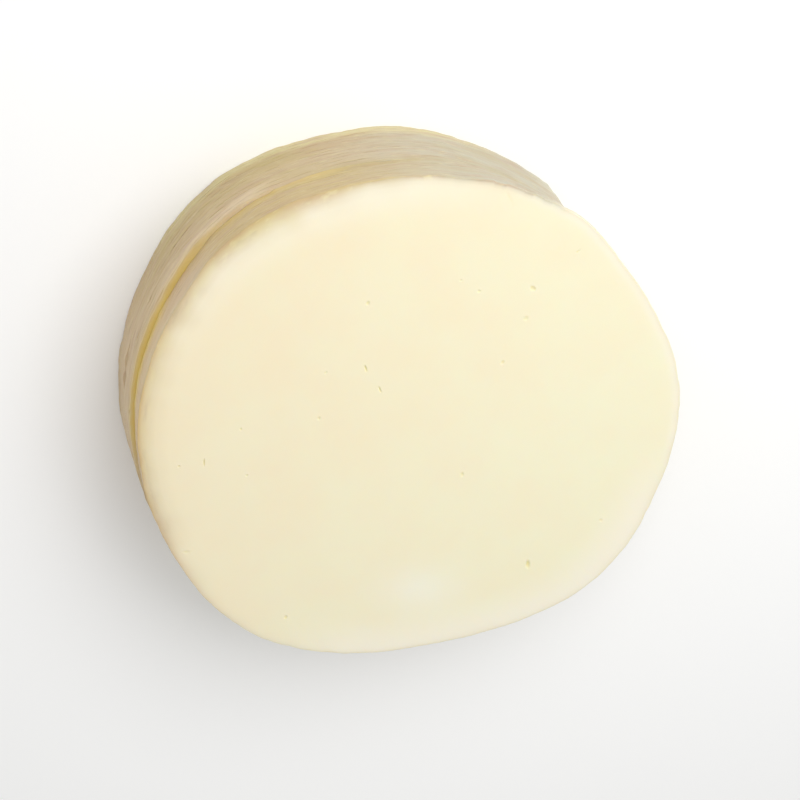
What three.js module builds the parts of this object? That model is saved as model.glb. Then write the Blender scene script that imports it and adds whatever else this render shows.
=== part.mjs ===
// Provolone: a stack of thin round slices that still keeps the shape of the cheese it was cut from.
// Millimetres, +Z up. The stack lies on its lowest slice, with the face of the top slice up.
// The origin is at the bottom centre of the box round the whole stack.
import * as THREE from "three";

// Driving dimensions
const SLICE_COUNT = 20;
const SLICE_THICKNESS = 1.5;
const SLICE_GAP = 0.1;
const MEAN_RADIUS = 59.5;
const RIM_SOFTENING = 0.25;
const OUTLINE_POINTS = 60;

// The log was pressed a little out of round. Each wave has its count round the rim, its height
// as a share of the mean radius, and the angle of one of its crests in degrees.
const OUTLINE_WAVES = [
  { count: 2, height: 0.0045, crest: 144 },
  { count: 3, height: 0.02, crest: 30 },
  { count: 4, height: 0.0096, crest: 33 },
  { count: 5, height: 0.0059, crest: 40 },
  { count: 6, height: 0.0061, crest: 50 },
  { count: 8, height: 0.0033, crest: 27 },
  { count: 9, height: 0.0029, crest: 6 },
];

// The pile has slipped as two bundles. Both lean, the upper one has also fanned out a little, and
// a crescent of the lower bundle's top face shows at the step between them. Slips and turns are
// measured from the top downwards.
const LOWER_COUNT = 12;
const UPPER_LEAN = new THREE.Vector2(1.05, 1.35);
const UPPER_FAN = THREE.MathUtils.degToRad(-4.5);
const BUNDLE_STEP = new THREE.Vector2(0.85, -0.7);
const LOWER_LEAN = new THREE.Vector2(1.45, 0.1);

// No slice lies quite square on the one below, and no two are quite the same size.
const LARGEST_SHIFT = 0.06;
const LARGEST_TURN = THREE.MathUtils.degToRad(0.4);
const LARGEST_GROWTH = 0.0012;
const LAYING_SEED = 4;

// Fresh provolone is cream coloured, with the soft shine of a wet cut.
const CHEESE_COLOUR = 0xf6ebca;
const CHEESE_ROUGHNESS = 0.5;

// Random draws between -1 and 1 that are the same on every run.
function seededDraws(seed) {
  let state = seed;
  return function draw() {
    state = (state + 0x6d2b79f5) | 0;
    let mixed = Math.imul(state ^ (state >>> 15), state | 1);
    mixed ^= mixed + Math.imul(mixed ^ (mixed >>> 7), mixed | 61);
    const unit = ((mixed ^ (mixed >>> 14)) >>> 0) / 2 ** 32;
    return 2 * unit - 1;
  };
}

// Distance from a slice's middle to its rim in the direction of an angle.
function rimRadius(angle) {
  let share = 1;
  for (const { count, height, crest } of OUTLINE_WAVES) {
    share += height * Math.cos(count * (angle - THREE.MathUtils.degToRad(crest)));
  }
  return MEAN_RADIUS * share;
}

function sliceOutline() {
  const points = [];
  for (let i = 0; i < OUTLINE_POINTS; i += 1) {
    const angle = (2 * Math.PI * i) / OUTLINE_POINTS;
    const radius = rimRadius(angle);
    points.push(new THREE.Vector2(radius * Math.cos(angle), radius * Math.sin(angle)));
  }
  return new THREE.Shape(points);
}

// One slice with its underside at z = 0 and both edges of its rim softened.
function sliceGeometry() {
  const geometry = new THREE.ExtrudeGeometry(sliceOutline(), {
    depth: SLICE_THICKNESS - 2 * RIM_SOFTENING,
    bevelThickness: RIM_SOFTENING,
    bevelSize: RIM_SOFTENING,
    bevelOffset: -RIM_SOFTENING,
    bevelSegments: 1,
  });
  return geometry.translate(0, 0, RIM_SOFTENING);
}

// How far a slice has slipped and turned from the top one, by its level from the bottom.
function layingAt(level) {
  const slip = new THREE.Vector2();
  if (level >= LOWER_COUNT) {
    const share = (SLICE_COUNT - 1 - level) / (SLICE_COUNT - 1 - LOWER_COUNT);
    return { slip: slip.addScaledVector(UPPER_LEAN, share), turn: UPPER_FAN * share };
  }
  const share = (LOWER_COUNT - 1 - level) / (LOWER_COUNT - 1);
  slip.add(UPPER_LEAN).add(BUNDLE_STEP).addScaledVector(LOWER_LEAN, share);
  return { slip, turn: 0 };
}

function cheeseMaterial() {
  return new THREE.MeshStandardMaterial({
    color: CHEESE_COLOUR,
    roughness: CHEESE_ROUGHNESS,
    metalness: 0,
  });
}

// The slices from the lowest, slice_01, to the top one.
function sliceStack() {
  const stack = new THREE.Group();
  const draw = seededDraws(LAYING_SEED);
  for (let level = 0; level < SLICE_COUNT; level += 1) {
    const slice = new THREE.Mesh(sliceGeometry(), cheeseMaterial());
    slice.name = "slice_" + String(level + 1).padStart(2, "0");
    const { slip, turn } = layingAt(level);
    slice.position.x = slip.x + LARGEST_SHIFT * draw();
    slice.position.y = slip.y + LARGEST_SHIFT * draw();
    slice.position.z = level * (SLICE_THICKNESS + SLICE_GAP);
    slice.rotation.z = turn + LARGEST_TURN * draw();
    const growth = 1 + LARGEST_GROWTH * draw();
    slice.scale.set(growth, growth, 1);
    stack.add(slice);
  }
  return stack;
}

// The stack is moved so that its box stands on the origin.
function provoloneStack() {
  const stack = sliceStack();
  const middle = new THREE.Box3().setFromObject(stack, true).getCenter(new THREE.Vector3());
  stack.position.set(-middle.x, -middle.y, 0);
  return new THREE.Group().add(stack);
}

export default provoloneStack();
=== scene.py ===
"""Provolone: a stack of thin round slices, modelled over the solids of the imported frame.

The file is laid out as an add-on and run as a script. Every length is in metres, as the frame is,
and MM turns a size in millimetres into metres. Reaches and angles round the stack are taken about
the frame's upright axis, which passes near the middle of every slice. Angles run anticlockwise from
+X, seen from above.
"""

import math
from dataclasses import dataclass

import bmesh
import bpy
import numpy as np
from mathutils import Matrix, Vector


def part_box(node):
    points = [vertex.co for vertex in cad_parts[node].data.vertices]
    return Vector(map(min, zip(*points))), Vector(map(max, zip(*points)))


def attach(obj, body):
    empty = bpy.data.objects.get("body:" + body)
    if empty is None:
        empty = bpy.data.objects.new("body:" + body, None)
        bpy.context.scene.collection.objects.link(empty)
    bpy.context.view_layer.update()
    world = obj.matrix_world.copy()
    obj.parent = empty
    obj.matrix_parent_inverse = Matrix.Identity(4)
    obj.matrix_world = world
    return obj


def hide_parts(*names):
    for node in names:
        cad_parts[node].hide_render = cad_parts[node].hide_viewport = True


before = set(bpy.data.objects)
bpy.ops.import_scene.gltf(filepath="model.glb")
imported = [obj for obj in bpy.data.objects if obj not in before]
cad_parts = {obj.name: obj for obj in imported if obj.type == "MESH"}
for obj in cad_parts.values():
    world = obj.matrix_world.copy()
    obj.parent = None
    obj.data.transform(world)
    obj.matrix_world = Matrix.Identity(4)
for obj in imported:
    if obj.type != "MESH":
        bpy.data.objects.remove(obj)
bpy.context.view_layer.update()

bl_info = {
    "name": "Sliced provolone",
    "version": (1, 0, 0),
    "blender": (4, 5, 0),
    "location": "View3D > Sidebar > Provolone",
    "description": "Models a stack of provolone slices over its solids and sets its stage",
    "category": "Object",
}

MM = 0.001
FULL_TURN = 2 * math.pi


def smoothstep(values):
    """0 up to 0 and 1 from 1, with a smooth rise between."""
    clipped = np.clip(values, 0, 1)
    return clipped * clipped * (3 - 2 * clipped)


@dataclass(frozen=True)
class Side:
    """A side of the stack in degrees: its direction, how far round it holds, and where it has faded.

    Where a clockwise end is given, it fades there instead on the clockwise side.
    """

    middle: float
    full: float
    end: float
    clockwise_end: float | None = None

    def share(self, angles):
        """1 where the side holds, falling smoothly to 0 where it has faded."""
        turn = (np.degrees(angles) - self.middle + 180) % 360 - 180
        end = np.where(turn < 0, self.clockwise_end or self.end, self.end)
        return smoothstep((end - np.abs(turn)) / (end - self.full))


# The solids are named slice_01, the lowest, to the top one. The pile has slipped as two bundles,
# and this is the level of the upper one's lowest slice, counted from 0.
SLICE_NODES = sorted(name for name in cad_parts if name.startswith("slice_"))
UPPER_BUNDLE = 12
CHEESE_MATERIAL = "provolone_cheese"
PIECE_PREFIX = "cheese_"

# Points round a rim are about half a millimetre apart. The flat faces have rings that lie close
# together near the rim, where a slice bends, and wider apart inside.
RIM_STEPS = 720
RIM_ANGLES = np.linspace(0, FULL_TURN, RIM_STEPS, endpoint=False)
RING_WIDTHS = (0.5 * MM, 0.7 * MM, 1.0 * MM, 1.5 * MM, 2.5 * MM)
EDGE_SEGMENTS = 3
GRID_SPAN = RIM_STEPS // 4
# An edge lies flat if its ends differ less than this in height.
FLAT_SLACK = 0.01 * MM

# A solid's rim is read from the points of its upright wall, between the two softened edges. The
# log's own outline has only long waves, so shorter ones are corners of the solid and are left out.
WALL_SHARE = 0.8
OUTLINE_WAVES = 14

# A rim wanders in and out in waves from about 40 mm long to about 2.5 mm.
WANDER_WAVES = range(9, 150)
WANDER_STEEPNESS = 1
RIM_SEED = 5

# Sides on which the stack leans out towards its top: the side, and how far the rims stand out, or
# back where it is negative, at the foot, at the step between the bundles, in the second slice from
# the top and in the top one.
LEANING_SIDES = (
    (Side(195, 14, 17, 60), (-1.6 * MM, -0.9 * MM, 0.0, 0.0)),
    (Side(203, 13, 16, 55), (0.0, -0.3 * MM, -0.8 * MM, 0.0)),
    (Side(223, 9, 22), (0.0, 0.0, 1.3 * MM, 1.5 * MM)),
    (Side(338, 14, 36), (0.0, 0.0, 0.5 * MM, 0.6 * MM)),
)

# On one side the blade has torn the top rim back in steps about this long.
RAGGED_SIDE = Side(231, 10, 15)
RAGGED_STEP = 2.2 * MM
RAGGED_SEED = 3

# Rims closer than the first of these cling to each other, and past the second they lie free.
CLING_STEPS = (0.35 * MM, 0.6 * MM)
CLING_SHARE = 0.85

# The seams between slices stand open for a stretch and are then smeared shut for a stretch. On two
# sides the smear has left hardly any open, and between the bundles none.
SEAM_WAVES = range(12, 70)
SEAM_STEEPNESS = 0.5
SEAM_SEED = 11
SMEARED_SIDES = (Side(340, 16, 30), Side(222, 8, 22))
SMEARED_SHARE = 0.93

# The rims of the upper slices hang most on the side that has browned, and elsewhere by the least
# share. They hang less further down, and not at all below this depth.
HANGING_SIDE = Side(318, 38, 62)
HANGING_LEAST = 0.1
HANGING_DEPTH = 10 * MM

# The rind is tan on the side that has browned, and on the faded side it is pale, with streaks and
# painted seam shade weaker by the calm share; both have one value for the top slice and one for those
# below it. On parts of the browned side the upper bundle is more yellow or more pink, and the lower one
# is dull, less so further up; its foot is painted lighter, cancelling the floor's shade there, and its
# lip has a painted pinkish highlight where it catches the light. Each other share is the most of its
# colour that is mixed in.
BROWN_SIDE = Side(320, 35, 88)
FADED_SIDES = (Side(115, 101, 111), Side(115, 80, 106))
CALM_SHARES = (0.9, 0.45)
YELLOW_SIDE = Side(282, 14, 48)
YELLOW_SHARE = 0.5
PINK_SIDE = Side(324, 16, 34)
PINK_SHARE = 0.28
DULL_SIDE = Side(290, 12, 40)
DULL_HEIGHTS = (6 * MM, 11 * MM)
DULL_SHARES = (0.6, 0.2)
FOOT_SIDE = Side(270, 25, 50)
FOOT_HEIGHTS = (2.2 * MM, 5 * MM)
FOOT_SHARE = 0.85
LIP_SIDE = Side(298, 12, 26)
LIP_HEIGHTS = (13.5 * MM, 17 * MM)
LIP_SHARE = 0.8
# On one side the rim of the top face is painted duller, as the shade of its rounded shoulder, and less so
# over this width.
RIM_SHADE_SIDE = Side(328, 14, 38)
RIM_SHADE_WIDTH = 1.4 * MM
RIM_SHADE_SHARE = 0.4

# The rind's colour is full in its skin and fades out into a face. Over its reach it falls to about a
# third: the first is for the pale side and the second for the browned one, and on one side it reaches
# so much further, with a slower start, as painted shade of the rounded shoulder. The reach is uneven in
# waves from about 60 mm long to about 6 mm. On the two sides with painted shoulder and rim shade the
# rind of the upper bundle turns lighter inwards, so that the painted shade grades into the face, and on
# another its colour fades up the wall, by this share at the top.
RIND_SKIN = 0.15 * MM
RIND_REACH = (0.45 * MM, 1.75 * MM)
SHOULDER_SHADE_SIDE = Side(294, 14, 34)
SHOULDER_SHADE_REACH = 1.15 * MM
LIGHTER_SIDES = (SHOULDER_SHADE_SIDE, RIM_SHADE_SIDE)
LIGHTER_SHARE = 0.7
FADING_SIDE = Side(314, 10, 22)
FADING_SHARE = 0.25
RIND_WAVES = range(6, 60)
RIND_STEEPNESS = 0.5
RIND_UNEVEN = 0.15
RIND_SEED = 8

# Random streaks along the rind: dull and pinkish ones, dark scores, and light flecks where the blade
# has lifted it. Each kind has its colour, its usual length and height, the band of a noise over which
# it comes in, and the most of its colour that is mixed in.
RIND_STREAKS = (
    ("dull_rind", 22 * MM, 5 * MM, (0.5, 0.7), 0.35),
    ("streak", 9 * MM, 1 * MM, (0.45, 0.75), 0.6),
    ("seam", 6 * MM, 0.5 * MM, (0.55, 0.8), 0.5),
    ("light_rind", 3 * MM, 0.4 * MM, (0.6, 0.78), 0.7),
)

# The face is warmest in this direction. Buttery patches of about this size shift its warmth down or
# up by at most this share, as a noise runs through the band.
WARM_DIRECTION = math.radians(312)
PATCH_SIZE = 14 * MM
PATCH_SHIFT = 0.2
PATCH_BAND = (0.35, 0.65)

# The curd's grain: its size and height, and the least and most roughness that it gives the skin.
GRAIN_SIZE = 0.6 * MM
GRAIN_HEIGHT = 0.02 * MM
SKIN_ROUGHNESS = (0.42, 0.58)
# Light goes this deep into the cheese, and each of red, green and blue by its share of that.
LIGHT_DEPTH = 0.4 * MM
LIGHT_SHARES = (1.0, 0.85, 0.6)

# Sides on which a pale margin reaches into a face from the rim, and how far.
MARGIN_SIDES = ((Side(100, 35, 60), 12 * MM), (Side(190, 30, 55), 3 * MM), (Side(276, 4, 64), 12 * MM))

# Where the upper bundle has slipped off the lower one, the bare strip is painted gold, as painted
# shade and warm bounced light in the crevice under the upper bundle. It is plain up to the first of
# these widths and fully gold from the second. The gold starts at this share on the rim, rises by so
# much across the strip, and runs down the wall to this depth.
GOLD_SIDE = Side(325, 18, 38)
GOLD_WIDTHS = (0.25 * MM, 0.85 * MM)
GOLD_AT_RIM = 0.55
GOLD_RISE = 1.0
GOLD_FALL = 3.0 * MM
# On two sides gold is also painted on the wall of the upper bundle: the side, and the gold's share
# over the whole wall and at its foot, from where it climbs. At the foot it is painted shade of the
# crevice, and higher up a gold tint of the wall.
WALL_GOLD_AND_SHADE = ((Side(331, 12, 22), 0.2, 1.0), (Side(280, 10, 18), 0.0, 0.45))
GOLD_CLIMB = 4.5 * MM

# A whitish patch of painted glare lies on the top face: its middle, its half length and half width,
# and the direction of its length in degrees.
PAINTED_GLARE = ((8.3 * MM, 41.0 * MM), 9 * MM, 6 * MM, 159)
PAINTED_GLARE_SHARE = 0.4

# Eyes in the top face: the middle of each in x and y, its length and width in millimetres, the
# direction of its length in degrees, and its depth as a share of the deepest.
EYES = (
    (3.7, -17.6, 1.7, 0.4, 90, 0.9),
    (2.3, -11.6, 1.7, 0.4, 94, 0.8),
    (43.5, -8.3, 2.0, 0.4, 72, 0.7),
    (-16.7, 43.7, 2.2, 1.0, 74, 0.8),
    (-35.7, -23.1, 1.5, 1.0, 120, 0.6),
    (-32.4, -16.7, 1.2, 1.0, 10, 0.4),
    (-24.8, -8.2, 1.0, 0.8, 30, 0.5),
    (-1.2, -32.4, 1.1, 0.8, 60, 0.5),
    (-24.5, -26.6, 0.8, 0.7, 0, 0.4),
    (-21.5, -30.5, 0.7, 0.6, 0, 0.3),
    (-8.9, 15.5, 1.1, 0.8, 80, 0.5),
    (16.8, -9.6, 0.9, 0.7, 40, 0.4),
    (12.1, -19.8, 0.7, 0.6, 0, 0.3),
    (33.5, -13.2, 0.7, 0.5, 70, 0.5),
    (48.9, -9.4, 0.6, 0.5, 0, 0.5),
    (35.8, -1.8, 0.6, 0.5, 0, 0.5),
    (54.3, 11.8, 1.8, 0.8, 160, 0.3),
    (38.9, 36.4, 1.0, 0.8, 60, 0.5),
    (-47.2, -28.1, 0.6, 0.5, 0, 0.8),
    (-35.4, 38.7, 0.9, 0.8, 0, 0.3),
    (-36.5, -45.0, 5.0, 0.7, 98, 0.12),
)
# The wall of an eye starts this many half widths from its middle, and ends one half width further in.
EYE_LIP = 1.3
# The top face's grid is split within each of these distances of an eye, with so many cuts, so that
# the eye's wall has points about a tenth of a millimetre apart.
EYE_SPLITS = ((3.0 * MM, 1), (1.8 * MM, 2))
# A corner of a face is straight if its angle is above this.
STRAIGHT_CORNER = math.radians(175)
# A face of the mesh is on the upper side if the upright share of its normal is above this.
UPWARDS = 0.5

# The floor reaches far enough out for its edge to be lost in the sky.
FLOOR_REACH = 6.0
# The camera looks at this point of the top face, and sees nothing nearer than this.
CAMERA_AIM = (-1.1 * MM, -7.5 * MM)
CAMERA_NEAR = 10 * MM

# Sockets of a colour Mix node, which holds sockets for other kinds of data too.
MIX_FACTOR, MIX_A, MIX_B, MIX_RESULT = 0, 6, 7, 2


def linear(hex_colour):
    """The scene-linear colour, with alpha, of an sRGB hex value."""
    channels = [int(hex_colour[i:i + 2], 16) / 255 for i in (1, 3, 5)]
    return [c / 12.92 if c <= 0.04045 else ((c + 0.055) / 1.055) ** 2.4 for c in channels] + [1.0]


def colour_property(name, description, hex_colour):
    return bpy.props.FloatVectorProperty(
        name=name,
        description=description,
        default=linear(hex_colour),
        size=4,
        min=0,
        max=1,
        subtype="COLOR",
    )


def length_property(name, description, default):
    return bpy.props.FloatProperty(
        name=name, description=description, default=default, min=0, unit="LENGTH"
    )


def angle_property(name, description, degrees):
    return bpy.props.FloatProperty(
        name=name, description=description, default=math.radians(degrees), subtype="ANGLE"
    )


class ProvoloneSlices(bpy.types.PropertyGroup):
    """Sizes of the slices."""

    gap: length_property("Gap", "Air between two slices that lie on each other", 0.02 * MM)
    edge_radius: length_property("Edge radius", "Rounding of a rim where its seam is open", 0.15 * MM)
    rim_wander: length_property("Rim wander", "How far a rim usually strays from its outline", 0.08 * MM)
    torn_depth: length_property("Torn depth", "How far the top rim is torn back at most", 0.4 * MM)
    shoulder_drop: length_property("Shoulder drop", "How far the top rim hangs at most", 1.1 * MM)
    shoulder_width: length_property("Shoulder width", "Width of the top face that bends down", 4.5 * MM)
    slump_drop: length_property("Slump drop", "How far a rim with nothing on it sinks", 0.5 * MM)
    slump_width: length_property("Slump width", "Width of bare face over which a rim sinks", 1.3 * MM)
    eye_depth: length_property("Eye depth", "Depth of the deepest eye in the top face", 0.4 * MM)


class ProvoloneColours(bpy.types.PropertyGroup):
    """Colours of the cheese."""

    cream: colour_property("Cream", "Cut face on the side that has stayed pale", "#ede9cb")
    warm_cream: colour_property("Warm cream", "Cut face towards the browned side", "#efe3c4")
    margin: colour_property("Margin", "Face just inside a rim", "#f1ebd8")
    tan_rind: colour_property("Tan rind", "Rim on the side that has browned", "#d2ba94")
    yellow_rind: colour_property("Yellow rind", "Rim of the upper bundle on part of that side", "#c8b06c")
    pink_rind: colour_property("Pink rind", "Rim of the upper bundle on another part", "#d8a98c")
    # Also painted round the rim of the top face as the shade of its shoulder.
    dull_rind: colour_property("Dull rind", "Rim of the lower bundle there", "#baa86a")
    # Painted lighter foot of the lower bundle, cancelling the floor's shade there; also the lighter end
    # of the painted shade on the upper bundle, and light flecks.
    light_rind: colour_property("Light rind", "Foot of the lower bundle there", "#dfd4a4")
    # Painted pinkish highlight where the lip of the lower bundle catches the light.
    lip: colour_property("Lip", "Pinkish lip of the lower bundle there", "#e4ceae")
    pale_rind: colour_property("Pale rind", "Rim on the side that has stayed pale", "#c3bda7")
    faded_rind: colour_property("Faded rind", "Rim on the sides away from the browned one", "#e6dfc6")
    streak: colour_property("Streak", "Pinkish streaks along the rim", "#c3a488")
    # Painted shade in the open seams between slices; also the colour of the dark scores.
    seam: colour_property("Seam", "Bottom of an open seam between two slices", "#a8936f")
    # Painted warm shade and bounced light in the crevice between the bundles, and a gold tint on the
    # upper wall.
    crevice_shade_gold: colour_property("Gold", "Strip of bare face that has dried in the open", "#e2c775")
    # Painted glare: a whitish patch of light on the top face.
    bloom: colour_property("Bloom", "Whitish bloom that has dried on the face", "#f1efe7")
    # Painted yellow shade in the hollow of an eye, standing in for light bounced inside it.
    eye: colour_property("Eye", "Wet wall of an eye", "#e5dba1")


class ProvoloneStage(bpy.types.PropertyGroup):
    """Floor, light and camera."""

    floor: colour_property("Floor", "Pale paper under the cheese", "#fbfbfa")
    sky_strength: bpy.props.FloatProperty(
        name="Sky strength",
        description="Brightness of the even light from all round",
        default=0.63,
        min=0,
    )
    key_power: bpy.props.FloatProperty(
        name="Key power", description="Power of the large soft lamp", default=0.915, min=0, unit="POWER"
    )
    key_direction: angle_property("Key direction", "Where the lamp stands round the stack", 226)
    key_elevation: angle_property("Key elevation", "Height of the lamp above the floor", 52)
    key_distance: length_property("Key distance", "From the lamp to the cheese", 360 * MM)
    key_size: length_property("Key size", "Side of the square lamp", 300 * MM)
    camera_elevation: angle_property("Camera elevation", "Angle of the view down", 60.4)
    camera_roll: angle_property("Camera roll", "Turn of the camera about its own axis", 161.4)
    camera_distance: length_property("Camera distance", "From the camera to what it looks at", 573 * MM)
    camera_lens: bpy.props.FloatProperty(
        name="Lens", description="Focal length on a 36 mm sensor", default=118.8, min=1, unit="CAMERA"
    )


@dataclass
class SolidSlice:
    """One solid slice: its height, and the reach of its rim at each of the rim's angles."""

    node: str
    low: float
    high: float
    rim: np.ndarray


@dataclass
class LaidRims:
    """How the rims lie on each other: lower and upper edge of each slice, and the seams between."""

    lower: list
    upper: list
    seams: list


@dataclass
class LaidPoints:
    """The points of a laid slice: where they are, how far inside the rim, and how far in a seam."""

    reach: np.ndarray
    angles: np.ndarray
    heights: np.ndarray
    inside: np.ndarray
    in_seam: np.ndarray


def mesh_points(mesh):
    points = np.empty(len(mesh.vertices) * 3)
    mesh.vertices.foreach_get("co", points)
    return points.reshape(-1, 3)


def move_points(mesh, points):
    mesh.vertices.foreach_set("co", points.ravel())
    mesh.update()


def round_axis(points):
    """Reach of points from the upright axis, and their angle round it."""
    return np.hypot(points[:, 0], points[:, 1]), np.arctan2(points[:, 1], points[:, 0])


def at_angles(values, angles):
    """Values that are kept for the rim's angles, at other angles."""
    return np.interp(angles, RIM_ANGLES, values, period=FULL_TURN)


def read_solid(node):
    """The height and the smooth outline of one solid slice."""
    low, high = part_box(node)
    points = mesh_points(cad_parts[node].data)
    half_height = (high.z - low.z) / 2
    off_middle = np.abs(points[:, 2] - low.z - half_height)
    wall = np.unique(points[off_middle < WALL_SHARE * half_height, :2].round(7), axis=0)
    reach, angles = round_axis(wall)
    waves = np.fft.rfft(np.interp(RIM_ANGLES, angles, reach, period=FULL_TURN))
    waves[OUTLINE_WAVES + 1:] = 0
    return SolidSlice(node, low.z, high.z, np.fft.irfft(waves, RIM_STEPS))


STACK = [read_solid(node) for node in SLICE_NODES]
TOP = STACK[-1]
STEP_HEIGHT = STACK[UPPER_BUNDLE].low
PLAIN_RADIUS = float(np.mean(TOP.rim))
PLAIN_THICKNESS = TOP.high - TOP.low


def random_waves(draws, counts, steepness):
    """A random line round the rim, of usual height 1; higher counts are lower by the steepness."""
    line = np.zeros(RIM_STEPS)
    for count in counts:
        height = draws.normal() / count ** steepness
        line += height * np.cos(count * RIM_ANGLES + draws.uniform(0, FULL_TURN))
    return line / line.std()


def rim_wander(level, usual_height):
    """How far the rim of one slice strays in or out at each angle, the same on every run."""
    draws = np.random.default_rng(RIM_SEED + level)
    return usual_height * random_waves(draws, WANDER_WAVES, WANDER_STEEPNESS)


def leaning(level):
    """How far the rim of one slice stands out at each angle where the stack leans outwards."""
    levels = (0, UPPER_BUNDLE, len(STACK) - 2, len(STACK) - 1)
    return sum(side.share(RIM_ANGLES) * np.interp(level, levels, out) for side, out in LEANING_SIDES)


def torn_steps(deepest):
    """How far the top rim is torn back at each angle, in steps of uneven depth."""
    draws = np.random.default_rng(RAGGED_SEED)
    count = round(FULL_TURN * PLAIN_RADIUS / RAGGED_STEP)
    depths = draws.uniform(0, deepest, count)
    return depths[(RIM_ANGLES / FULL_TURN * count).astype(int)] * RAGGED_SIDE.share(RIM_ANGLES)


def open_seams():
    """How far each seam stands open at each angle, from 0, smeared shut, to 1.

    The first is under the lowest slice and the last over the top one, and these are open all round.
    """
    draws = np.random.default_rng(SEAM_SEED)
    smeared = SMEARED_SHARE * np.max([side.share(RIM_ANGLES) for side in SMEARED_SIDES], axis=0)
    seams = [np.ones(RIM_STEPS)]
    for _ in STACK[1:]:
        waves = random_waves(draws, SEAM_WAVES, SEAM_STEEPNESS)
        seams.append(smoothstep(0.5 + waves) * (1 - smeared))
    seams[UPPER_BUNDLE] = np.zeros(RIM_STEPS)
    seams.append(np.ones(RIM_STEPS))
    return seams


def lay_rims(slices):
    """Rims that lean and wander, drawn towards the rims above and below that they cling to."""
    rims = [
        solid.rim + leaning(level) + rim_wander(level, slices.rim_wander)
        for level, solid in enumerate(STACK)
    ]
    rims[-1] -= torn_steps(slices.torn_depth)
    lower = [rim.copy() for rim in rims]
    upper = [rim.copy() for rim in rims]
    near, free = CLING_STEPS
    for level in range(1, len(rims)):
        step = rims[level] - rims[level - 1]
        pull = CLING_SHARE * smoothstep((free - np.abs(step)) / (free - near)) * step / 2
        upper[level - 1] += pull
        lower[level] -= pull
    return LaidRims(lower, upper, open_seams())


def shoulder_fall(points, slices):
    """How far points of the stack sink where the rims of the upper slices hang."""
    reach, angles = round_axis(points)
    inside = at_angles(TOP.rim, angles) - reach
    share = HANGING_LEAST + (1 - HANGING_LEAST) * HANGING_SIDE.share(angles)
    bend = np.clip(1 - inside / slices.shoulder_width, 0, 1) ** 2
    height = smoothstep(1 - (TOP.high - points[:, 2]) / HANGING_DEPTH)
    return slices.shoulder_drop * share * bend * height


def select_parts(piece, kind, wanted):
    """In edit mode, selects the edges or faces of a piece that the test wants, and nothing else."""
    bpy.ops.mesh.select_mode(type=kind)
    bpy.ops.mesh.select_all(action="DESELECT")
    mesh = bmesh.from_edit_mesh(piece.data)
    for part in mesh.edges if kind == "EDGE" else mesh.faces:
        part.select_set(wanted(part))
    bmesh.update_edit_mesh(piece.data)


def lies_flat(edge):
    return abs(edge.verts[0].co.z - edge.verts[1].co.z) < FLAT_SLACK


def is_middle(face):
    """Whether a face is the large one in the middle of a side, and not a square of a ring."""
    return len(face.verts) > 4


def cut_plain_slice(name, slices):
    """A true round slice on the origin with soft edges; the middle of each face is one large face."""
    bpy.ops.object.select_all(action="DESELECT")
    bpy.ops.mesh.primitive_circle_add(
        vertices=RIM_STEPS, radius=PLAIN_RADIUS, fill_type="NGON", enter_editmode=True
    )
    piece = bpy.context.object
    piece.name = name
    piece.data.name = name
    bpy.ops.mesh.extrude_region_move(TRANSFORM_OT_translate={"value": (0, 0, PLAIN_THICKNESS)})
    bpy.ops.mesh.select_all(action="SELECT")
    bpy.ops.mesh.normals_make_consistent(inside=False)
    select_parts(piece, "EDGE", lies_flat)
    bpy.ops.mesh.bevel(offset=slices.edge_radius, segments=EDGE_SEGMENTS, affect="EDGES")
    select_parts(piece, "FACE", is_middle)
    for width in RING_WIDTHS:
        bpy.ops.mesh.inset(thickness=width)
    return piece


def close_middles(piece):
    """Splits the large face in the middle of each side into a fan."""
    select_parts(piece, "FACE", is_middle)
    bpy.ops.mesh.poke()


def grid_top_face(piece):
    """Makes the middle of the upper face a grid of small squares, so that eyes can be pressed in."""
    select_parts(piece, "FACE", lambda face: is_middle(face) and face.normal.z > UPWARDS)
    bpy.ops.mesh.delete(type="ONLY_FACE")
    select_parts(piece, "EDGE", lambda edge: edge.is_boundary)
    bpy.ops.mesh.fill_grid(span=GRID_SPAN)
    bpy.ops.mesh.select_all(action="SELECT")
    bpy.ops.mesh.normals_make_consistent(inside=False)


def leave_edit_mode():
    bpy.ops.object.mode_set(mode="OBJECT")
    bpy.ops.object.shade_smooth()


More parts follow.
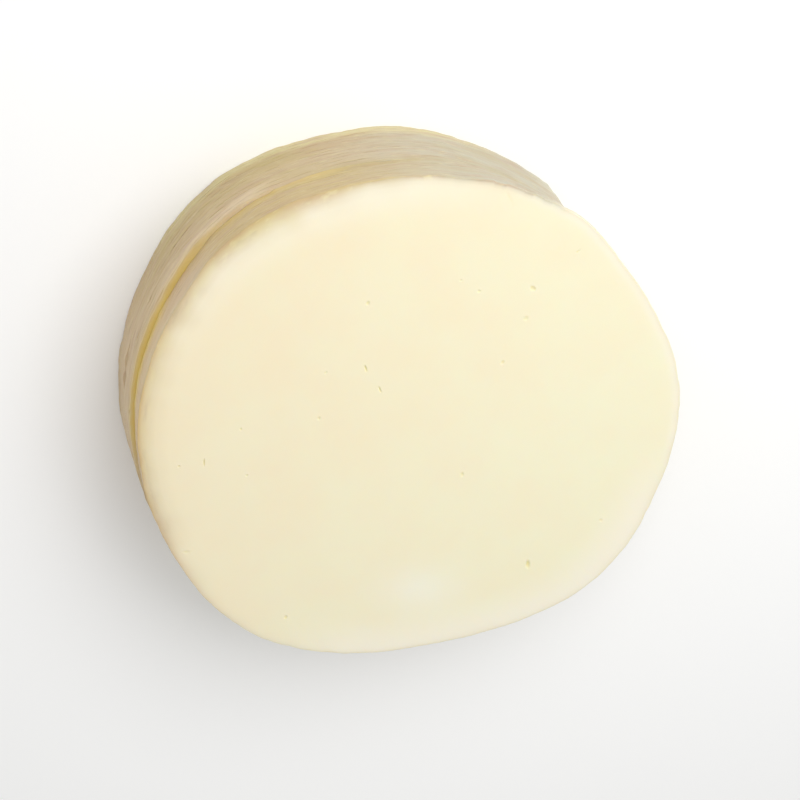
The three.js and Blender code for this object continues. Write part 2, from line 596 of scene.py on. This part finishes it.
def lay_slice(piece, level, rims, slices):
    """Moves the points of a plain slice to where its solid lies and gives it its uneven rim."""
    solid = STACK[level]
    points = mesh_points(piece.data)
    reach, angles = round_axis(points)
    share = points[:, 2] / PLAIN_THICKNESS
    lower, upper = at_angles(rims.lower[level], angles), at_angles(rims.upper[level], angles)
    rim = (1 - share) * lower + share * upper
    seam = np.where(
        share < 0.5, at_angles(rims.seams[level], angles), at_angles(rims.seams[level + 1], angles)
    )
    # The soft edge is moved out or in to the rim, and the faces inside it are stretched to fit.
    inset = PLAIN_RADIUS - reach
    on_edge = inset < slices.edge_radius + RING_WIDTHS[0] / 2
    reach = np.where(on_edge, rim - inset * seam, rim * reach / PLAIN_RADIUS)
    outermost = (share < 0.5) & (level == 0) | (share > 0.5) & (solid is TOP)
    # Points on the edges of an open seam carry the share of painted seam shade.
    in_seam = np.where(on_edge & ~outermost, seam * inset / slices.edge_radius, 0)
    # Slices fill the air between the solids up to the gap, and a rim with nothing on it sinks.
    spare = slices.gap / 2
    low = solid.low if level == 0 else (solid.low + STACK[level - 1].high) / 2 + spare
    high = solid.high if solid is TOP else (solid.high + STACK[level + 1].low) / 2 - spare
    height = low + share * (high - low)
    if solid is not TOP:
        bare = reach - at_angles(rims.lower[level + 1], angles)
        height -= slices.slump_drop * share * smoothstep(bare / slices.slump_width)
    laid = np.column_stack((reach * np.cos(angles), reach * np.sin(angles), height))
    laid[:, 2] -= shoulder_fall(laid, slices)
    move_points(piece.data, laid)
    return LaidPoints(reach, angles, laid[:, 2], rim - reach, in_seam)


def eye_places():
    """Middle, half length, half width, direction and depth share of each eye, in metres."""
    for x, y, length, width, direction, depth in EYES:
        yield (x * MM, y * MM), length / 2 * MM, width / 2 * MM, math.radians(direction), depth


def has_straight_corner(face):
    return any(corner.calc_angle() > STRAIGHT_CORNER for corner in face.loops)


def split_round_eyes(piece):
    """Splits the top face's squares near each eye into finer ones.

    A square beside finer ones has straight corners, so it is cut into triangles, none of them flat.
    """
    middles = [middle for middle, *_ in eye_places()]
    bpy.ops.object.mode_set(mode="EDIT")
    for radius, cuts in EYE_SPLITS:

        def near_eye(face, radius=radius):
            place = face.calc_center_median()
            near = min(math.hypot(place.x - x, place.y - y) for x, y in middles)
            return face.normal.z > UPWARDS and near < radius

        select_parts(piece, "FACE", near_eye)
        bpy.ops.mesh.subdivide(number_cuts=cuts)
    select_parts(piece, "FACE", has_straight_corner)
    bpy.ops.mesh.quads_convert_to_tris(quad_method="BEAUTY", ngon_method="BEAUTY")
    leave_edit_mode()


def ellipse_distance(points, middle, half_length, half_width, direction):
    """How far points are from the middle of an ellipse seen from above, where 1 is its outline."""
    x = points[:, 0] - middle[0]
    y = points[:, 1] - middle[1]
    along = (x * math.cos(direction) + y * math.sin(direction)) / half_length
    across = (y * math.cos(direction) - x * math.sin(direction)) / half_width
    return np.hypot(along, across)


def press_eyes(piece, slices):
    """Sinks the points of the top face inside each eye, and returns how far in an eye each point is."""
    points = mesh_points(piece.data)
    in_eye = np.zeros(len(points))
    on_top = points[:, 2] > (TOP.low + TOP.high) / 2
    for *ellipse, depth in eye_places():
        bowl = smoothstep(EYE_LIP - ellipse_distance(points, *ellipse)) * on_top
        points[:, 2] -= bowl * depth * slices.eye_depth
        in_eye = np.maximum(in_eye, bowl * depth)
    move_points(piece.data, points)
    return in_eye


def paint(piece, name, values):
    """Keeps one number for each point of a piece, for its material to read."""
    attribute = piece.data.attributes.new(name, "FLOAT", "POINT")
    attribute.data.foreach_set("value", values.astype(np.float32))


def paint_slice(piece, level, laid, rims):
    """Marks how near the rim each point is, and how the rim and the face are coloured there."""
    browned = BROWN_SIDE.share(laid.angles)
    rind = rind_share(laid, browned)
    margins = [
        side.share(laid.angles) * (1 - smoothstep(laid.inside / reach)) for side, reach in MARGIN_SIDES
    ]
    paint(piece, "rind", rind)
    paint(piece, "browned", browned)
    below_top = int(STACK[level] is not TOP)
    faded = FADED_SIDES[below_top].share(laid.angles)
    paint(piece, "faded", faded)
    paint(piece, "calm", CALM_SHARES[below_top] * faded)
    # Painted shade in the open seams between slices.
    paint(piece, "seam", laid.in_seam)
    paint(piece, "margin", np.max(margins, axis=0))
    paint(piece, "warmth", 0.5 + 0.5 * laid.reach * np.cos(laid.angles - WARM_DIRECTION) / PLAIN_RADIUS)
    if level >= UPPER_BUNDLE:
        # On the top slice the rim is painted darker, as the shade of its rounded shoulder.
        rim_shade = RIM_SHADE_SIDE.share(laid.angles) * smoothstep(1 - laid.inside / RIM_SHADE_WIDTH)
        lighter = np.max([side.share(laid.angles) for side in LIGHTER_SIDES], axis=0)
        paint(piece, "dulled", RIM_SHADE_SHARE * rim_shade * (STACK[level] is TOP))
        # Where shoulder and rim shade are painted, the rind is painted lighter inwards, grading the shade
        # into the face.
        paint(piece, "lightened", LIGHTER_SHARE * lighter * smoothstep(laid.inside / SHOULDER_SHADE_REACH))
        paint(piece, "yellowed", YELLOW_SHARE * YELLOW_SIDE.share(laid.angles))
        paint(piece, "pinked", PINK_SHARE * PINK_SIDE.share(laid.angles))
        # Gold paint on the wall: painted crevice shade at its foot, a gold tint higher up.
        paint(piece, "golden", rind * wall_gold_and_shade_share(laid))
    else:
        paint(piece, "dulled", dull_share(laid))
        # The foot of the lower bundle is painted lighter, cancelling the floor's shade there.
        paint(piece, "lightened", painted_foot_light(laid))
        # Painted highlight on the lip of the lower bundle.
        paint(piece, "lip", lip_highlight_share(laid))
        # Painted gold shade of the crevice on the bare strip.
        paint(piece, "golden", crevice_shade_share(laid, rims))


def rind_share(laid, browned):
    """How far the rind's colour has reached: all on the wall, and less further into the face."""
    shoulder_shade = SHOULDER_SHADE_SIDE.share(laid.angles)
    least, most = RIND_REACH
    uneven = random_waves(np.random.default_rng(RIND_SEED), RIND_WAVES, RIND_STEEPNESS)
    # On one side the rind reaches further, as painted shade of the rounded shoulder.
    width = least + (most - least) * browned + SHOULDER_SHADE_REACH * shoulder_shade
    width *= 1 + RIND_UNEVEN * at_angles(uneven, laid.angles)
    inwards = np.exp(-((np.maximum(laid.inside - RIND_SKIN, 0) / width) ** (1 + shoulder_shade)))
    upwards = np.clip((laid.heights - STEP_HEIGHT) / (TOP.high - STEP_HEIGHT), 0, 1)
    return inwards * (1 - FADING_SHARE * upwards * FADING_SIDE.share(laid.angles))


def dull_share(laid):
    """How far the rind of the lower bundle is dull."""
    return np.interp(laid.heights, DULL_HEIGHTS, DULL_SHARES) * DULL_SIDE.share(laid.angles)


def painted_foot_light(laid):
    """How far the foot of the lower bundle is painted lighter, cancelling the shade the floor casts
    there.
    """
    full, end = FOOT_HEIGHTS
    return FOOT_SHARE * smoothstep((end - laid.heights) / (end - full)) * FOOT_SIDE.share(laid.angles)


def lip_highlight_share(laid):
    """How far the lip of the lower bundle is painted with its pinkish highlight, where it catches the
    light.
    """
    start, full = LIP_HEIGHTS
    return LIP_SHARE * smoothstep((laid.heights - start) / (full - start)) * LIP_SIDE.share(laid.angles)


def painted_glare_share(piece):
    """How far each point lies in the patch of painted glare on the top face."""
    middle, half_length, half_width, direction = PAINTED_GLARE
    distance = ellipse_distance(
        mesh_points(piece.data), middle, half_length, half_width, math.radians(direction)
    )
    return PAINTED_GLARE_SHARE * np.exp(-distance * distance)


def wall_gold_and_shade_share(laid):
    """How far gold is painted on the wall of the upper bundle: crevice shade at its foot, a tint higher
    up.
    """
    climb = smoothstep(1 - (laid.heights - STEP_HEIGHT) / GOLD_CLIMB)
    return sum(
        side.share(laid.angles) * (least + (most - least) * climb) for side, least, most in WALL_GOLD_AND_SHADE
    )


def crevice_shade_share(laid, rims):
    """How far the bare strip of the lower bundle is painted gold, as the shade of the crevice under the
    upper one.
    """
    bare = at_angles(rims.upper[UPPER_BUNDLE - 1] - rims.lower[UPPER_BUNDLE], laid.angles)
    plain, full = GOLD_WIDTHS
    wide = smoothstep((bare - plain) / (full - plain))
    from_rim = smoothstep(GOLD_AT_RIM + GOLD_RISE * laid.inside / np.maximum(bare, plain))
    downwards = smoothstep(1 - (STEP_HEIGHT - laid.heights) / GOLD_FALL)
    return GOLD_SIDE.share(laid.angles) * wide * from_rim * downwards


def add_node(tree, kind, settings=None, values=None, links=None):
    """Adds a node with its settings, its fixed inputs and the outputs that feed its other inputs."""
    node = tree.nodes.new(kind)
    for name, value in (settings or {}).items():
        setattr(node, name, value)
    for socket, value in (values or {}).items():
        node.inputs[socket].default_value = value
    for socket, output in (links or {}).items():
        tree.links.new(output, node.inputs[socket])
    return node


def new_material(name):
    material = bpy.data.materials.new(name)
    material.use_nodes = True
    material.node_tree.nodes.clear()
    return material, material.node_tree


def provolone_material(colours):
    """Provolone, cut with a wet blade: cream and a little see-through at the skin, with a soft shine.

    The face has faint buttery patches and a patch of painted glare, the rim is tan, streaked and duller,
    with painted shade in its seams, in the crevice between the bundles and round the top slice's
    shoulder and a painted highlight on a lip, and the hollows of the eyes are painted a yellow shade.
    """
    existing = bpy.data.materials.get(CHEESE_MATERIAL)
    if existing:
        return existing
    material, tree = new_material(CHEESE_MATERIAL)
    place = add_node(tree, "ShaderNodeTexCoord").outputs["Object"]

    def mark(name):
        return add_node(tree, "ShaderNodeAttribute", {"attribute_name": name}).outputs["Fac"]

    def mix(share, first, second):
        """Mixes two colours, each either fixed or the output of a node, by a share."""
        values, links = {}, {MIX_FACTOR: share}
        for socket, colour in ((MIX_A, first), (MIX_B, second)):
            (links if isinstance(colour, bpy.types.NodeSocket) else values)[socket] = colour
        return add_node(tree, "ShaderNodeMix", {"data_type": "RGBA"}, values, links).outputs[MIX_RESULT]

    def streaks(length, height, band, most):
        """Share of a colour in random streaks along the rim, where a noise is in a band or above."""
        stretched = add_node(
            tree,
            "ShaderNodeMapping",
            values={"Scale": (1 / length, 1 / length, 1 / height)},
            links={"Vector": place},
        )
        noise = add_node(
            tree,
            "ShaderNodeTexNoise",
            values={"Scale": 1.0, "Detail": 2.0},
            links={"Vector": stretched.outputs["Vector"]},
        )
        share = add_node(
            tree,
            "ShaderNodeMapRange",
            values={"From Min": band[0], "From Max": band[1], "To Max": most},
            links={"Value": noise.outputs["Fac"]},
        )
        return share.outputs["Result"]

    patches = add_node(
        tree,
        "ShaderNodeTexNoise",
        values={"Scale": 1 / PATCH_SIZE, "Detail": 3.0},
        links={"Vector": place},
    )
    patch_shift = add_node(
        tree,
        "ShaderNodeMapRange",
        values={
            "From Min": PATCH_BAND[0],
            "From Max": PATCH_BAND[1],
            "To Min": -PATCH_SHIFT,
            "To Max": PATCH_SHIFT,
        },
        links={"Value": patches.outputs["Fac"]},
    )
    warmth = add_node(
        tree,
        "ShaderNodeMath",
        {"operation": "ADD", "use_clamp": True},
        links={0: mark("warmth"), 1: patch_shift.outputs["Result"]},
    )
    face = mix(warmth.outputs["Value"], colours.cream, colours.warm_cream)

    rind = mix(mark("faded"), colours.pale_rind, colours.faded_rind)
    rind = mix(mark("browned"), rind, colours.tan_rind)
    rind = mix(mark("yellowed"), rind, colours.yellow_rind)
    rind = mix(mark("pinked"), rind, colours.pink_rind)
    # Dull rind of the lower bundle, and painted shade round the rim of the top face.
    rind = mix(mark("dulled"), rind, colours.dull_rind)
    # Painted light at the foot of the lower bundle, and the lighter end of the painted shoulder and rim
    # shade above.
    rind = mix(mark("lightened"), rind, colours.light_rind)
    # Painted pinkish highlight on the lip of the lower bundle.
    rind = mix(mark("lip"), rind, colours.lip)
    streaked = rind
    for colour_name, *form in RIND_STREAKS:
        streaked = mix(streaks(*form), streaked, getattr(colours, colour_name))
    # Painted shade in the open seams.
    streaked = mix(mark("seam"), streaked, colours.seam)
    rind = mix(mark("calm"), streaked, rind)

    # A whitish patch of painted glare on the top face.
    colour = mix(mark("bloom"), face, colours.bloom)
    colour = mix(mark("margin"), colour, colours.margin)
    colour = mix(mark("rind"), colour, rind)
    # Painted gold shade of the crevice between the bundles.
    colour = mix(mark("golden"), colour, colours.crevice_shade_gold)
    # The hollow of each eye is painted a yellow shade, by its depth.
    colour = mix(mark("eye"), colour, colours.eye)

    # The grain shows only as a faint unevenness of the shine.
    grain = add_node(
        tree,
        "ShaderNodeTexNoise",
        values={"Scale": 1 / GRAIN_SIZE, "Detail": 2.0},
        links={"Vector": place},
    )
    roughness = add_node(
        tree,
        "ShaderNodeMapRange",
        values={"To Min": SKIN_ROUGHNESS[0], "To Max": SKIN_ROUGHNESS[1]},
        links={"Value": grain.outputs["Fac"]},
    )
    bump = add_node(
        tree,
        "ShaderNodeBump",
        values={"Strength": 0.15, "Distance": GRAIN_HEIGHT},
        links={"Height": grain.outputs["Fac"]},
    )
    shader = add_node(
        tree,
        "ShaderNodeBsdfPrincipled",
        values={
            "IOR": 1.45,
            "Subsurface Weight": 0.6,
            "Subsurface Radius": LIGHT_SHARES,
            "Subsurface Scale": LIGHT_DEPTH,
        },
        links={
            "Base Color": colour,
            "Roughness": roughness.outputs["Result"],
            "Normal": bump.outputs["Normal"],
        },
    )
    add_node(tree, "ShaderNodeOutputMaterial", links={"Surface": shader.outputs["BSDF"]})
    return material


def floor_material(floor_colour):
    """Matt paper: nearly white, with no shine."""
    material, tree = new_material("matt_paper")
    shader = add_node(
        tree,
        "ShaderNodeBsdfPrincipled",
        values={"Base Color": floor_colour, "Roughness": 0.9, "IOR": 1.3},
    )
    add_node(tree, "ShaderNodeOutputMaterial", links={"Surface": shader.outputs["BSDF"]})
    return material


def finish_slice(piece, level, colours):
    """Gives a slice its material, hangs it from the root body and hides its solid."""
    piece.data.materials.append(provolone_material(colours))
    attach(piece, "root")
    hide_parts(STACK[level].node)


def lay_floor(stage):
    bpy.ops.object.select_all(action="DESELECT")
    bpy.ops.mesh.primitive_plane_add(size=2 * FLOOR_REACH)
    floor = bpy.context.object
    floor.name = "floor"
    floor.data.materials.append(floor_material(stage.floor))


def light_sky(scene, stage):
    """Even white light from all round."""
    world = bpy.data.worlds.new("soft_sky")
    world.use_nodes = True
    background = world.node_tree.nodes["Background"]
    background.inputs["Color"].default_value = linear("#ffffff")
    background.inputs["Strength"].default_value = stage.sky_strength
    scene.world = world


def hang_lamp(context, stage):
    """One large soft lamp, turned to the middle of the top face."""
    lamp = bpy.data.lights.new("soft_lamp", "AREA")
    lamp.energy = stage.key_power
    lamp.size = stage.key_size
    holder = bpy.data.objects.new("soft_lamp", lamp)
    sideways = math.cos(stage.key_elevation)
    away = Vector(
        (
            sideways * math.cos(stage.key_direction),
            sideways * math.sin(stage.key_direction),
            math.sin(stage.key_elevation),
        )
    )
    holder.location = Vector((0, 0, TOP.high)) + stage.key_distance * away
    holder.rotation_euler = (-away).to_track_quat("-Z", "Y").to_euler()
    holder.visible_camera = False
    context.collection.objects.link(holder)


def stand_camera(context, stage):
    """The camera looks down from the -Y side, rolled about its own axis."""
    lens = bpy.data.cameras.new("camera")
    lens.lens = stage.camera_lens
    lens.clip_start = CAMERA_NEAR
    camera = bpy.data.objects.new("camera", lens)
    tilt = math.pi / 2 - stage.camera_elevation
    turn = Matrix.Rotation(tilt, 4, "X") @ Matrix.Rotation(stage.camera_roll, 4, "Z")
    aim = Vector((*CAMERA_AIM, TOP.high))
    back = Vector((0, -math.cos(stage.camera_elevation), math.sin(stage.camera_elevation)))
    camera.matrix_world = Matrix.Translation(aim + stage.camera_distance * back) @ turn
    context.collection.objects.link(camera)
    context.scene.camera = camera


class PROVOLONE_OT_stacked_slices(bpy.types.Operator):
    """Cuts every slice below the top one and lays it on its solid"""

    bl_idname = "provolone.stacked_slices"
    bl_label = "Stacked slices"

    def execute(self, context):
        slices = context.scene.provolone_slices
        rims = lay_rims(slices)
        plain = cut_plain_slice("plain_slice", slices)
        close_middles(plain)
        leave_edit_mode()
        for level in range(len(STACK) - 1):
            name = PIECE_PREFIX + STACK[level].node
            piece = bpy.data.objects.new(name, plain.data.copy())
            piece.data.name = name
            context.collection.objects.link(piece)
            laid = lay_slice(piece, level, rims, slices)
            paint_slice(piece, level, laid, rims)
            finish_slice(piece, level, context.scene.provolone_colours)
        bpy.data.meshes.remove(plain.data)
        return {"FINISHED"}


class PROVOLONE_OT_top_slice(bpy.types.Operator):
    """Cuts the top slice, with the eyes in its face, and lays it on its solid"""

    bl_idname = "provolone.top_slice"
    bl_label = "Top slice"

    def execute(self, context):
        slices = context.scene.provolone_slices
        level = len(STACK) - 1
        piece = cut_plain_slice(PIECE_PREFIX + TOP.node, slices)
        grid_top_face(piece)
        close_middles(piece)
        leave_edit_mode()
        rims = lay_rims(slices)
        laid = lay_slice(piece, level, rims, slices)
        paint_slice(piece, level, laid, rims)
        split_round_eyes(piece)
        # The hollows of the eyes are painted a yellow shade, by their depth.
        paint(piece, "eye", press_eyes(piece, slices))
        paint(piece, "bloom", painted_glare_share(piece))
        finish_slice(piece, level, context.scene.provolone_colours)
        return {"FINISHED"}


class PROVOLONE_OT_stage(bpy.types.Operator):
    """Lays the pale floor and sets the soft light and the camera"""

    bl_idname = "provolone.stage"
    bl_label = "Stage"

    def execute(self, context):
        stage = context.scene.provolone_stage
        lay_floor(stage)
        light_sky(context.scene, stage)
        hang_lamp(context, stage)
        stand_camera(context, stage)
        context.scene.view_settings.view_transform = "Standard"
        return {"FINISHED"}


class PROVOLONE_PT_sidebar(bpy.types.Panel):
    """Shows the sizes, the colours and the stage, with a button for each step"""

    bl_idname = "PROVOLONE_PT_sidebar"
    bl_label = "Provolone"
    bl_space_type = "VIEW_3D"
    bl_region_type = "UI"
    bl_category = "Provolone"

    def draw(self, context):
        for group in (
            context.scene.provolone_slices,
            context.scene.provolone_colours,
            context.scene.provolone_stage,
        ):
            box = self.layout.box()
            for name in group.__annotations__:
                box.prop(group, name)
        for operator in OPERATORS:
            self.layout.operator(operator.bl_idname)


PROPERTY_GROUPS = {
    "provolone_slices": ProvoloneSlices,
    "provolone_colours": ProvoloneColours,
    "provolone_stage": ProvoloneStage,
}
OPERATORS = (PROVOLONE_OT_stacked_slices, PROVOLONE_OT_top_slice, PROVOLONE_OT_stage)
CLASSES = (*PROPERTY_GROUPS.values(), *OPERATORS, PROVOLONE_PT_sidebar)


def register():
    for each in CLASSES:
        bpy.utils.register_class(each)
    for name, group in PROPERTY_GROUPS.items():
        setattr(bpy.types.Scene, name, bpy.props.PointerProperty(type=group))


def unregister():
    for name in PROPERTY_GROUPS:
        delattr(bpy.types.Scene, name)
    for each in reversed(CLASSES):
        bpy.utils.unregister_class(each)


def main():
    register()
    bpy.ops.provolone.stacked_slices()
    bpy.ops.provolone.top_slice()
    bpy.ops.provolone.stage()


if __name__ == "__main__":
    main()
